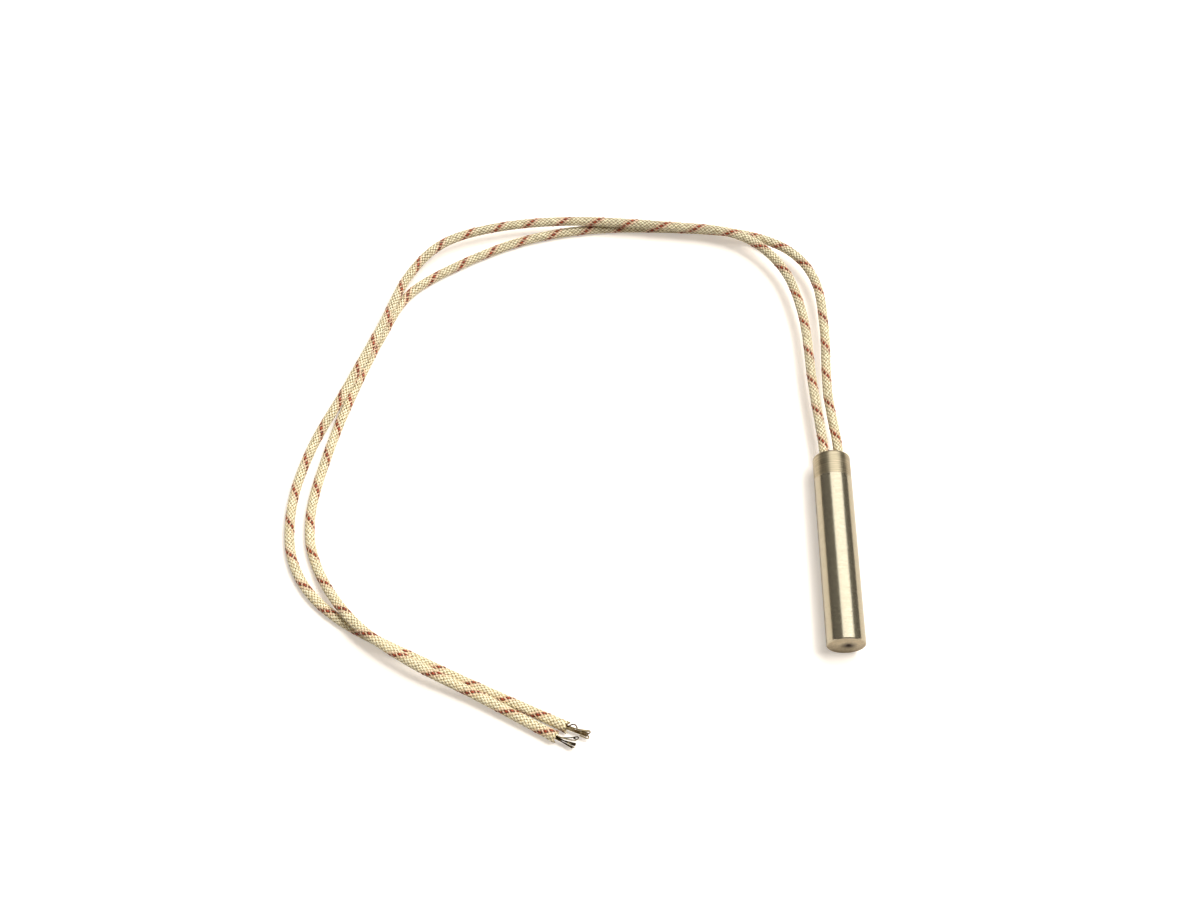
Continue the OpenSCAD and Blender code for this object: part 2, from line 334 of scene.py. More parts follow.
def ground_steel_finish(colours):
    """Centreless-ground stainless steel: a clear reflection, broken into fine grain by the grinding wheel."""
    material, tree = new_material("ground_stainless_steel")
    place = add_node(tree, "ShaderNodeTexCoord").outputs["Object"]
    stretched = add_node(tree, "ShaderNodeMapping", {
        "Vector": place, "Scale": (cycles(2.5), cycles(0.16), cycles(2.5))})
    lines = add_node(tree, "ShaderNodeTexNoise", {
        "Vector": stretched.outputs["Vector"], "Scale": 1, "Detail": 3, "Roughness": 0.6})
    grain = add_node(tree, "ShaderNodeTexNoise", {
        "Vector": place, "Scale": cycles(0.3), "Detail": 2, "Roughness": 0.55})
    relief = add_node(tree, "ShaderNodeMath", {
        0: lines.outputs["Fac"], 1: grain.outputs["Fac"]}, operation="ADD")
    bump = add_node(tree, "ShaderNodeBump", {
        "Height": relief.outputs[0], "Strength": 0.16, "Distance": 0.05 * MM})
    polish = add_node(tree, "ShaderNodeMapRange", {
        "Value": grain.outputs["Fac"], "From Min": 0.3, "From Max": 0.7, "To Min": 0.15, "To Max": 0.26})
    specks = add_node(tree, "ShaderNodeTexVoronoi", {"Vector": place, "Scale": cycles(1.4)})
    speck = add_node(tree, "ShaderNodeMapRange", {
        "Value": specks.outputs["Distance"], "From Min": 0.05, "From Max": 0.1, "To Min": 0.55, "To Max": 0})
    shade = add_node(tree, "ShaderNodeMapRange", {
        "Value": relief.outputs[0], "From Min": 0.75, "From Max": 1.25, "To Min": 0.84, "To Max": 1.06})
    mottled = add_node(tree, "ShaderNodeVectorMath", {
        0: colours.ground_steel[:3], "Scale": shade.outputs["Result"]}, operation="SCALE")
    tone = add_node(tree, "ShaderNodeMix", {
        0: speck.outputs["Result"], 6: mottled.outputs["Vector"], 7: colours.speck}, data_type="RGBA")
    steel = add_node(tree, "ShaderNodeBsdfPrincipled", {
        "Base Color": tone.outputs[2], "Metallic": 1, "Roughness": polish.outputs["Result"],
        "Normal": bump.outputs["Normal"]})
    finish_material(tree, steel)
    return material


def turned_steel_finish(colours):
    """Stainless steel turned on a lathe: fine tool rings round the band, which dull the reflection."""
    material, tree = new_material("turned_stainless_steel")
    place = add_node(tree, "ShaderNodeTexCoord").outputs["Object"]
    stretched = add_node(tree, "ShaderNodeMapping", {
        "Vector": place, "Scale": (cycles(9), cycles(0.32), cycles(9))})
    rings = add_node(tree, "ShaderNodeTexNoise", {
        "Vector": stretched.outputs["Vector"], "Scale": 1, "Detail": 3, "Roughness": 0.7})
    bump = add_node(tree, "ShaderNodeBump", {
        "Height": rings.outputs["Fac"], "Strength": 0.08, "Distance": 0.05 * MM})
    dulling = add_node(tree, "ShaderNodeMapRange", {
        "Value": rings.outputs["Fac"], "From Min": 0.3, "From Max": 0.7, "To Min": 0.28, "To Max": 0.38})
    shade = add_node(tree, "ShaderNodeMapRange", {
        "Value": rings.outputs["Fac"], "From Min": 0.35, "From Max": 0.65, "To Min": 0.7, "To Max": 1.12})
    streaks = add_node(tree, "ShaderNodeVectorMath", {
        0: colours.turned_steel[:3], "Scale": shade.outputs["Result"]}, operation="SCALE")
    steel = add_node(tree, "ShaderNodeBsdfPrincipled", {
        "Base Color": streaks.outputs["Vector"], "Metallic": 1, "Roughness": dulling.outputs["Result"],
        "Normal": bump.outputs["Normal"]})
    finish_material(tree, steel)
    return material


def faced_steel_finish(colours, sizes):
    """Welded end, faced flat: a matte warm grey, mottled, with painted shade towards the bottom.

    A brown weld stain lies round the dimple, and inside the dimple the stain is painted shade.
    """
    material, tree = new_material("faced_weld_steel")
    place = add_node(tree, "ShaderNodeTexCoord").outputs["Object"]
    grain = add_node(tree, "ShaderNodeTexNoise", {
        "Vector": place, "Scale": cycles(0.45), "Detail": 4, "Roughness": 0.65})
    from_dimple = add_node(tree, "ShaderNodeVectorMath", {
        0: place, 1: (sizes.dimple_shift, CLOSED_END, AXIS_Z)}, operation="DISTANCE")
    # Weld stain round the dimple, darkest in the dimple itself, where it is painted shade
    stain_and_shade = add_node(tree, "ShaderNodeMapRange", {
        "Value": from_dimple.outputs["Value"], "From Min": 0.3 * MM, "From Max": 2.6 * MM,
        "To Min": 1, "To Max": 0}, interpolation_type="SMOOTHSTEP")
    # Painted shade: the face is darker towards its bottom
    low = add_node(tree, "ShaderNodeMapRange", {
        "Value": add_node(tree, "ShaderNodeSeparateXYZ", {"Vector": place}).outputs["Z"],
        "From Min": 1 * MM, "From Max": 6 * MM, "To Min": 0.5, "To Max": -0.05})
    mottle_and_shade = add_node(tree, "ShaderNodeMath", {
        0: grain.outputs["Fac"], 1: low.outputs["Result"]}, operation="ADD", use_clamp=True)
    mottle = add_node(tree, "ShaderNodeMix", {
        0: mottle_and_shade.outputs["Value"], 6: colours.faced_steel, 7: colours.faced_mottle_and_shade}, data_type="RGBA")
    tone = add_node(tree, "ShaderNodeMix", {
        0: stain_and_shade.outputs["Result"], 6: mottle.outputs[2], 7: colours.weld_stain_and_shade}, data_type="RGBA")
    bump = add_node(tree, "ShaderNodeBump", {
        "Height": grain.outputs["Fac"], "Strength": 0.35, "Distance": 0.06 * MM})
    steel = add_node(tree, "ShaderNodeBsdfPrincipled", {
        "Base Color": tone.outputs[2], "Metallic": 0.2, "Roughness": 0.5, "Normal": bump.outputs["Normal"]})
    finish_material(tree, steel)
    return material


def yarn_finish(name, top, deep, shaded, dyed):
    """Glass-fibre yarn: a lustrous bundle of fine filaments, painted lit on top and with painted shade deep
    in the gaps of the braid.

    The painted shade in the gaps is darker near the heater, and the tops take the dyed colour where they rub
    on the tracer."""
    material, tree = new_material(name)
    crest = add_node(tree, "ShaderNodeAttribute", attribute_name="crest")
    place = add_node(tree, "ShaderNodeTexCoord")
    patches = add_node(tree, "ShaderNodeTexNoise", {
        "Vector": place.outputs["Object"], "Scale": cycles(2.4), "Detail": 2})
    # Painted shade: low points of the braid take the gap colour, the yarns' tops the lit colour
    depth = add_node(tree, "ShaderNodeMapRange", {
        "Value": crest.outputs["Fac"], "From Min": 0.15, "From Max": 0.68})
    dye = add_node(tree, "ShaderNodeAttribute", attribute_name="dye")
    stained = add_node(tree, "ShaderNodeMix", {
        0: dye.outputs["Fac"], 6: top, 7: dyed}, data_type="RGBA")
    # Painted shade: the gaps take the darker colour near the heater
    soil = add_node(tree, "ShaderNodeAttribute", attribute_name="soil")
    gap_painted_shade = add_node(tree, "ShaderNodeMix", {
        0: soil.outputs["Fac"], 6: deep, 7: shaded}, data_type="RGBA")
    tone = add_node(tree, "ShaderNodeMix", {
        0: depth.outputs["Result"], 6: gap_painted_shade.outputs[2], 7: stained.outputs[2]}, data_type="RGBA")
    shade = add_node(tree, "ShaderNodeMapRange", {
        "Value": patches.outputs["Fac"], "From Min": 0.3, "From Max": 0.7, "To Min": 0.86, "To Max": 1})
    worn = add_node(tree, "ShaderNodeVectorMath", {
        0: tone.outputs[2], "Scale": shade.outputs["Result"]}, operation="SCALE")
    filaments = add_node(tree, "ShaderNodeTexNoise", {
        "Vector": add_node(tree, "ShaderNodeMapping", {
            "Vector": place.outputs["UV"], "Scale": (1.2, 9, 1)}).outputs["Vector"],
        "Scale": 1, "Detail": 2})
    bump = add_node(tree, "ShaderNodeBump", {
        "Height": filaments.outputs["Fac"], "Strength": 0.15, "Distance": 0.05 * MM})
    glass = add_node(tree, "ShaderNodeBsdfPrincipled", {
        "Base Color": worn.outputs["Vector"], "Roughness": 0.35, "Specular IOR Level": 0.5,
        "Sheen Weight": 0.2, "Normal": bump.outputs["Normal"]})
    finish_material(tree, glass)
    return material


def drawn_wire_finish(name, bright, dull, bright_share):
    """Drawn wire: a soft metal shine, with dull, oxidised stretches where it isn't bright."""
    material, tree = new_material(name)
    place = add_node(tree, "ShaderNodeTexCoord").outputs["Object"]
    patches = add_node(tree, "ShaderNodeTexNoise", {
        "Vector": place, "Scale": cycles(0.9), "Detail": 3, "Roughness": 0.6})
    share = add_node(tree, "ShaderNodeMapRange", {
        "Value": patches.outputs["Fac"], "From Min": bright_share - 0.12, "From Max": bright_share + 0.12})
    tone = add_node(tree, "ShaderNodeMix", {
        0: share.outputs["Result"], 6: bright, 7: dull}, data_type="RGBA")
    wear = add_node(tree, "ShaderNodeMapRange", {
        "Value": share.outputs["Result"], "To Min": 0.28, "To Max": 0.5})
    bump = add_node(tree, "ShaderNodeBump", {
        "Height": patches.outputs["Fac"], "Strength": 0.15, "Distance": 0.03 * MM})
    wire = add_node(tree, "ShaderNodeBsdfPrincipled", {
        "Base Color": tone.outputs[2], "Metallic": 1, "Roughness": wear.outputs["Result"],
        "Normal": bump.outputs["Normal"]})
    finish_material(tree, wire)
    return material


def pressed_powder_finish(name, tone, grit_mm):
    """Pressed or set ceramic powder: matte, with grit of this size and pores."""
    material, tree = new_material(name)
    place = add_node(tree, "ShaderNodeTexCoord").outputs["Object"]
    grains = add_node(tree, "ShaderNodeTexNoise", {
        "Vector": place, "Scale": cycles(grit_mm), "Detail": 4, "Roughness": 0.7})
    shade = add_node(tree, "ShaderNodeMapRange", {
        "Value": grains.outputs["Fac"], "From Min": 0.25, "From Max": 0.7, "To Min": 0.72, "To Max": 1})
    mottled = add_node(tree, "ShaderNodeVectorMath", {
        0: tone[:3], "Scale": shade.outputs["Result"]}, operation="SCALE")
    bump = add_node(tree, "ShaderNodeBump", {
        "Height": grains.outputs["Fac"], "Strength": 0.5, "Distance": grit_mm * 0.4 * MM})
    powder = add_node(tree, "ShaderNodeBsdfPrincipled", {
        "Base Color": mottled.outputs["Vector"], "Roughness": 0.85, "Normal": bump.outputs["Normal"]})
    finish_material(tree, powder)
    return material


def smooth_route(points, steps):
    """Points of a smooth curve through a list of points, with the same number of steps in each span."""
    ends = np.vstack([2 * points[0] - points[1], points, 2 * points[-1] - points[-2]])
    t = (np.arange(steps) / steps)[:, None]
    spans = []
    for a, b, c, d in zip(ends, ends[1:], ends[2:], ends[3:]):
        square = 2 * a - 5 * b + 4 * c - d
        cube = 3 * b - a - 3 * c + d
        spans.append((2 * b + (c - a) * t + square * t ** 2 + cube * t ** 3) / 2)
    return np.vstack(spans + [points[-1]])


class LeadLine:
    """Middle line of a lead, with the directions across it and over it at any length along it."""

    def __init__(self, side, rows, lead_width):
        start = [(side * LEAD_PITCH / 2, y, AXIS_Z) for y in (SEAL_INNER, LIP, LIP + STRAIGHT_OUT)]
        layer = lead_width + LEAD_CLEAR
        rest = [(x * MM, y * MM + LIP, lead_width / 2 + lift * layer) for x, y, lift in rows]
        self.points = smooth_route(np.array(start + rest), ROUTE_STEPS)
        self.points[:, 2] = np.maximum(self.points[:, 2], lead_width / 2)
        steps = np.linalg.norm(np.diff(self.points, axis=0), axis=1)
        self.stations = np.concatenate([[0], np.cumsum(steps)])
        self.length = self.stations[-1]
        self.ahead = np.gradient(self.points, self.stations, axis=0)

    def at(self, station):
        """Points, and unit vectors ahead, across and over, at lengths along the line or just past its end."""
        station = np.asarray(station, float)
        inside = np.clip(station, 0, self.length)
        points = np.stack([np.interp(inside, self.stations, self.points[:, i]) for i in range(3)], axis=-1)
        ahead = np.stack([np.interp(inside, self.stations, self.ahead[:, i]) for i in range(3)], axis=-1)
        ahead /= np.linalg.norm(ahead, axis=-1, keepdims=True)
        across = np.cross(ahead, (0, 0, 1))
        across /= np.linalg.norm(across, axis=-1, keepdims=True)
        over = np.cross(across, ahead)
        points = points + ahead * (station - inside)[..., None]
        return points, ahead, across, over


def tube_faces(rings, sides, first):
    """Faces of a closed tube whose rings of points follow one another, from the point numbered first."""
    ring, side = np.meshgrid(np.arange(rings - 1), np.arange(sides), indexing="ij")
    here = first + ring * sides + side
    beside = first + ring * sides + (side + 1) % sides
    walls = np.stack([here, here + sides, beside + sides, beside], axis=-1).reshape(-1, 4).tolist()
    near_cap = list(range(first, first + sides))
    far_cap = list(range(first + rings * sides - 1, first + (rings - 1) * sides - 1, -1))
    return walls + [near_cap, far_cap]


def new_piece(name, mesh, materials):
    """Object of a mesh, at the origin, that rides with the heater."""
    for material in materials:
        mesh.materials.append(material)
    piece = bpy.data.objects.new(name, mesh)
    bpy.context.scene.collection.objects.link(piece)
    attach(piece, BODY)
    return piece


class TubeMesh:
    """Tubes that are gathered in one mesh, with a material slot for each tube and values at each point."""

    def __init__(self):
        self.places = []
        self.layers = {}
        self.uvs = []
        self.faces = []
        self.slots = []
        self.count = 0

    def add(self, rings, uvs, slot, **values):
        """Adds a closed tube. A value given for a ring or for the whole tube holds for all its points."""
        tube = tube_faces(rings.shape[0], rings.shape[1], self.count)
        self.places.append(rings.reshape(-1, 3))
        self.uvs.append(uvs.reshape(-1, 2))
        for name, value in values.items():
            self.layers.setdefault(name, []).append(np.broadcast_to(value, rings.shape[:2]).ravel())
        self.faces += tube
        self.slots += [slot] * len(tube)
        self.count += rings.shape[0] * rings.shape[1]

    def build(self, name):
        """Smooth mesh of all the tubes. What would lie below the floor is pressed flat on it."""
        places = np.vstack(self.places)
        places[:, 2] = np.maximum(places[:, 2], FLOOR_CLEAR)
        mesh = bpy.data.meshes.new(name)
        mesh.from_pydata(places.tolist(), [], self.faces)
        mesh.polygons.foreach_set("material_index", self.slots)
        mesh.polygons.foreach_set("use_smooth", [True] * len(self.faces))
        for layer_name, values in self.layers.items():
            layer = mesh.attributes.new(layer_name, "FLOAT", "POINT")
            layer.data.foreach_set("value", np.concatenate(values).astype(np.float32))
        corners = np.zeros(len(mesh.loops), np.int32)
        mesh.loops.foreach_get("vertex_index", corners)
        layer = mesh.uv_layers.new(name="yarn")
        layer.uv.foreach_set("vector", np.vstack(self.uvs)[corners].astype(np.float32).ravel())
        mesh.validate()
        return mesh


def value_along(rows, station):
    """Values at lengths along a lead, from rows of a length in millimetres and the value there."""
    lengths, values = np.transpose(rows)
    return np.interp(station / MM, lengths, values)


def add_yarn(tubes, line, sizes, twist, middle_r, way, number, chance):
    """Adds one yarn of a braid, which winds round the lead by way 1 or -1. The first by way 1 is the tracer.

    Both ways have the same number of yarns, so a yarn has twice as many crossings in each turn."""
    pitch = sizes.braid_pitch
    crossing = pitch / (2 * sizes.yarns)
    is_tracer = way == 1 and number == 0
    end = line.length + chance.uniform(*PAST_END_MM) * MM
    # Two rings on the top of each float and two at each dip
    station = np.arange(-0.25 * crossing, end, crossing / 2)
    station = np.append(np.clip(station, 0, None), end)
    wave = way * np.sign(np.cos(math.pi * station / crossing))
    wander = WANDER * np.sin(station / WANDER_LENGTH + chance.uniform(*WANDER_START))
    wound = 2 * math.pi * station / pitch
    twisted = np.radians(value_along(twist, station))
    # A float lies more along the lead than the yarn does on its way, and a dip less
    most_lean = TRACER_LEAN if is_tracer else FLOAT_LEAN
    lean = -most_lean * way * wave * np.sign(np.sin(2 * math.pi * station / crossing))
    turn = way * wound + 2 * math.pi * number / sizes.yarns + twisted + wander + lean
    # The braid is loose near its cut end
    near_end = np.clip(1 - (line.length - station) / LOOSE_LENGTH, 0, None)
    flare = (LOOSE_FLARE_MM * near_end + LAST_FLARE_MM * near_end ** LAST_FLARE_POWER) * MM
    radius = middle_r + sizes.yarn_rise * wave + flare
    width = sizes.yarn_width * (1 - TOP_NARROWING * wave) * chance.uniform(*WIDTH_SHARES)
    dye = np.zeros(len(station))
    if is_tracer:
        # The tracer is wider than the other yarns and stands a little proud
        width = width * TRACER_WIDTH
        radius = radius + TRACER_PROUD
    if way == 1 and number in (1, sizes.yarns - 1):
        dye += BESIDE_DYE
    if way == -1:
        # A yarn is narrow where it crosses the tracer, and takes up some of its dye
        near_tracer = np.cos(turn - twisted - wound)
        width = width * np.where(near_tracer > PINCHED_FROM, PINCHED_WIDTH, 1)
        dye = CROSSED_DYE * np.clip((near_tracer - DYED_FROM) / DYED_SPAN, 0, 1)

    # Rings of points round the yarn, square to its slope
    section = np.array(YARN_SECTION)
    slope = math.atan2(2 * math.pi * middle_r, pitch)
    side = section[None, :, 0] * width[:, None]
    height = section[None, :, 1] * sizes.yarn_thickness
    ring_station = station[:, None] - way * math.sin(slope) * side
    ring_turn = turn[:, None] + math.cos(slope) * side / middle_r
    ring_r = radius[:, None] + height
    point, _, across, over = line.at(ring_station)
    out = np.cos(ring_turn)[..., None] * across + np.sin(ring_turn)[..., None] * over
    share = np.broadcast_to(section[None, :, 0] + 0.5, side.shape)
    uvs = np.stack([ring_station / MM, share + number * PATTERN_STEP], axis=-1)

    # Painted light: each float's top is painted a little more or less lit; edges, underside and dips get
    # painted shade
    stretch = np.floor(station / crossing + 0.5).astype(int)
    painted_sheen = chance.uniform(*PAINTED_SHEEN_SHARES, stretch[-1] + 1)[stretch]
    crest = np.array(YARN_PAINTED_LIGHT)[None, :] * (painted_sheen * (0.5 + 0.5 * wave))[:, None]
    # More painted shade in the gaps near the heater
    soil = value_along(END_GAP_SHADE, station)[:, None]
    rings = point + ring_r[..., None] * out
    tubes.add(rings, uvs, slot=1 if is_tracer else 0, crest=crest, dye=dye[:, None], soil=soil)


def add_core(tubes, line, radius):
    """Adds the round core inside a braid."""
    end = line.length - CORE_SHORT
    station = np.append(np.arange(0, end, CORE_STEP), end)
    turn = np.arange(CORE_SIDES) * 2 * math.pi / CORE_SIDES
    point, _, across, over = line.at(station)
    out = np.cos(turn)[None, :, None] * across[:, None] + np.sin(turn)[None, :, None] * over[:, None]
    uvs = np.stack(np.meshgrid(station / MM, turn, indexing="ij"), axis=-1)
    soil = value_along(END_GAP_SHADE, station)[:, None]
    # The core is given the gap colour all over, as painted shade
    tubes.add(point[:, None] + radius * out, uvs, slot=0, crest=0, dye=0, soil=soil)


def braid(name, line, sizes, twist, materials, seed):
    """Braided lead: yarns that wind both ways round a core and pass over and under one another in turn."""
    chance = np.random.default_rng(seed)
    middle_r = sizes.lead_width / 2 - sizes.yarn_rise - YARN_ABOVE * sizes.yarn_thickness
    tubes = TubeMesh()
    for way in (1, -1):
        for number in range(sizes.yarns):
            add_yarn(tubes, line, sizes, twist, middle_r, way, number, chance)
    add_core(tubes, line, middle_r - sizes.yarn_rise - YARN_BELOW * sizes.yarn_thickness)
    return new_piece(name, tubes.build(name), materials)


def bent_wires(name, lines, width, materials, tip_share=1):
    """Round wires along lists of points, as one mesh. The materials are given to the wires in turn.

    A tip share under 1 tapers each wire to its end."""
    curve = bpy.data.curves.new(name, "CURVE")
    curve.dimensions = "3D"
    curve.bevel_depth = width / 2
    curve.bevel_resolution = 2
    curve.use_fill_caps = True
    curve.resolution_u = 4
    for material in materials:
        curve.materials.append(material)
    for number, line in enumerate(lines):
        spline = curve.splines.new("NURBS")
        spline.material_index = number % len(materials)
        spline.points.add(len(line) - 1)
        spline.order_u = 3
        spline.use_endpoint_u = True
        for i, (spot, place) in enumerate(zip(spline.points, line)):
            spot.co = (*place, 1)
            spot.radius = 1 - (1 - tip_share) * i / (len(line) - 1)
    wires = bpy.data.objects.new(name, curve)
    bpy.context.scene.collection.objects.link(wires)
    bpy.ops.object.select_all(action="DESELECT")
    wires.select_set(True)
    bpy.context.view_layer.objects.active = wires
    bpy.ops.object.convert(target="MESH")
    bpy.ops.object.shade_smooth()
    wires = bpy.context.view_layer.objects.active
    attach(wires, BODY)
    return wires


def end_frame(line):
    """Point at a lead's end, and its directions ahead along the floor, to the right and up."""
    point, ahead, _, _ = line.at(line.length)
    ahead = np.array((ahead[0], ahead[1], 0)) / math.hypot(ahead[0], ahead[1])
    return point, ahead, np.array((ahead[1], -ahead[0], 0)), np.array((0, 0, 1))


def from_end(line, along, right, up):
    """Point near a lead's end, from lengths in millimetres."""
    point, ahead, to_right, above = end_frame(line)
    return point + (along * ahead + right * to_right + up * above) * MM


def strand_line(line, number, tip, strand_mm):
    """Points along one bare strand. The strands leave the braid twisted together and then spread."""
    reach, right, up, bent = tip
    root_r = 0 if number == 0 else strand_mm + ROOT_CLEAR_MM
    points = []
    for t in np.linspace(0, 1, STRAND_STEPS):
        angle = math.radians(STRAND_APART * number + STRAND_TWIST * (1 - t) ** 2)
        points.append((
            reach * t, root_r * math.cos(angle) + right * t * t, root_r * math.sin(angle) + up * t * t))
    if bent:
        tip_along, tip_right, tip_up = points[-1]
        way = math.copysign(1, bent)
        for k in range(1, HOOK_STEPS + 1):
            angle = math.pi * k / HOOK_STEPS
            points.append((
                tip_along + HOOK_R_MM * math.sin(angle),
                tip_right + way * HOOK_R_MM * (1 - math.cos(angle)),
                tip_up))
        points.append((tip_along - abs(bent), tip_right + way * 2 * HOOK_R_MM, tip_up))
    return [from_end(line, *point) for point in points]


def fray_line(line, angle, past, out, lead_mm):
    """Points along one loose yarn end, which leaves the braid's surface near its end."""
    across = math.cos(math.radians(angle))
    up = math.sin(math.radians(angle))
    surface = lead_mm / 2 - FRAY_DEPTH_MM
    places = (
        (FRAY_START_MM, surface - FRAY_SINK_MM), (FRAY_EXIT_MM, surface),
        (FRAY_BEND * past, surface + FRAY_BEND * out), (past, surface + out))
    return [from_end(line, along, radius * across, radius * up) for along, radius in places]


def turn_solid(name, rings, segments, hollow):
    """Solid turned about the heater's axis. A ring holds its radius, its y and how far it is shifted along x.

    A hollow one closes from the last ring to the first, and a solid one is filled at its first ring and
    drawn to a point at its last."""
    radius, y, shift = rings[0]
    bpy.ops.object.select_all(action="DESELECT")
    bpy.ops.mesh.primitive_circle_add(
        vertices=segments, radius=radius, fill_type="NOTHING", enter_editmode=True,
        location=(shift, y, AXIS_Z), rotation=(math.pi / 2, 0, 0))
    piece = bpy.context.object
    piece.name = name
    piece.data.name = name
    bpy.ops.mesh.select_all(action="SELECT")
    for next_radius, next_y, next_shift in rings[1:]:
        bpy.ops.mesh.extrude_region_move(
            TRANSFORM_OT_translate={"value": (next_shift - shift, next_y - y, 0)})
        share = next_radius / radius
        bpy.ops.transform.resize(value=(share, 1, share), center_override=(next_shift, next_y, AXIS_Z))
        radius, y, shift = next_radius, next_y, next_shift
    if not hollow:
        bpy.ops.mesh.merge(type="CENTER")
    bpy.ops.mesh.select_all(action="DESELECT")
    bpy.ops.mesh.select_mode(type="EDGE")
    bpy.ops.mesh.select_non_manifold()
    if hollow:
        bpy.ops.mesh.bridge_edge_loops()
    else:
        bpy.ops.mesh.edge_face_add()
    bpy.ops.mesh.select_all(action="SELECT")
    bpy.ops.mesh.normals_make_consistent(inside=False)
    bpy.ops.object.mode_set(mode="OBJECT")
    bpy.ops.object.transform_apply(location=True, rotation=True, scale=True)
    bpy.ops.object.shade_smooth_by_angle(angle=SMOOTH_ANGLE)
    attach(piece, BODY)
    return piece


def add_lamp(name, place, width, height, watts):
    """Flat lamp at a place in metres, that shines on the heater and stays out of sight."""
    light = bpy.data.lights.new(name, "AREA")
    light.shape = "RECTANGLE"
    light.size = width
    light.size_y = height
    light.energy = watts
    lamp = bpy.data.objects.new(name, light)
    lamp.location = place
    lamp.rotation_euler = Vector(place).to_track_quat("Z", "Y").to_euler()
    lamp.visible_camera = False
    bpy.context.scene.collection.objects.link(lamp)
    return lamp


class HEATER_OT_camera(bpy.types.Operator):
    """Sets the camera where the photograph was taken from"""

    bl_idname = "heater.camera"
    bl_label = "Set the camera"

    def execute(self, context):
        lens = bpy.data.cameras.new("view")
        lens.lens = VIEW_LENS_MM
        lens.sensor_width = VIEW_SENSOR_MM
        lens.clip_start = VIEW_NEAR
        camera = bpy.data.objects.new("view", lens)
        back = Vector((0, -math.cos(VIEW_ELEVATION), math.sin(VIEW_ELEVATION)))
        camera.location = VIEW_CENTRE + VIEW_DISTANCE * back
        camera.rotation_euler = (math.pi / 2 - VIEW_ELEVATION, 0, 0)
        context.scene.collection.objects.link(camera)
        context.scene.camera = camera
        return {"FINISHED"}


class HEATER_OT_leads(bpy.types.Operator):
    """Braids the two leads along their routes and splays their bare strands"""

    bl_idname = "heater.leads"
    bl_label = "Braid the leads"

    def execute(self, context):
        sizes = context.scene.heater_sizes
        colours = context.scene.heater_colours
        yarn = yarn_finish(
            "glass_fibre_yarn", colours.yarn, colours.yarn_painted_shade, colours.yarn_shaded, colours.yarn_dyed)
        # The tracer takes its painted shade both in its dips and near the heater
        tracer = yarn_finish(
            "tracer_yarn", colours.tracer, colours.tracer_painted_shade, colours.tracer_painted_shade, colours.tracer)
        bright_wire = drawn_wire_finish(
            "bright_nickel_strand", colours.strand, colours.strand_dull, bright_share=0.6)
        # The dull and tarnished copies are darker for oxide, and for painted shade between the strands of a
        # bundle
        dull_shaded_wire = drawn_wire_finish(
            "dull_shaded_nickel_strand", colours.strand, colours.strand_dull, bright_share=0.35)
        brown_shaded_wire = drawn_wire_finish(
            "tarnished_shaded_nickel_strand", colours.strand, colours.tarnish, bright_share=0.45)
        scorched_wire = drawn_wire_finish(
            "scorched_nickel_strand", colours.scorched, colours.strand_dull, bright_share=0.7)
        leads = (
            ("left", -1, LEFT_ROWS, LEFT_TWIST, LEFT_TIPS, LEFT_FRAY, sizes.left_length, brown_shaded_wire),
            ("right", 1, RIGHT_ROWS, RIGHT_TWIST, RIGHT_TIPS, RIGHT_FRAY, sizes.right_length, dull_shaded_wire),
        )
        for seed, (name, side, rows, twist, tips, fray, real_length, darker_wire) in enumerate(leads):
            line = LeadLine(side, rows, sizes.lead_width)
            lead = braid(name + "_braid", line, sizes, twist, [yarn, tracer], seed)
            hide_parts(name + "_lead")
            strand_mm = sizes.strand_width / MM
            lines = [strand_line(line, i, tip, strand_mm) for i, tip in enumerate(tips)]
            # Two of every three strands take a darker copy: oxide, and painted shade between the strands
            strands = bent_wires(
                name + "_bare_strands", lines, sizes.strand_width, [darker_wire, darker_wire, bright_wire])
            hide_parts(name + "_strands")
            lines = [fray_line(line, *tail, sizes.lead_width / MM) for tail in fray]
            tails = bent_wires(
                name + "_loose_yarn", lines, FRAY_WIDTH * sizes.yarn_width, [yarn], tip_share=FRAY_TIP)
            if name == "left":
                loop = [from_end(line, *place) for place in BROKEN_STRAND]
                broken = bent_wires("broken_strand", [loop], sizes.strand_width, [scorched_wire])
        return {"FINISHED"}


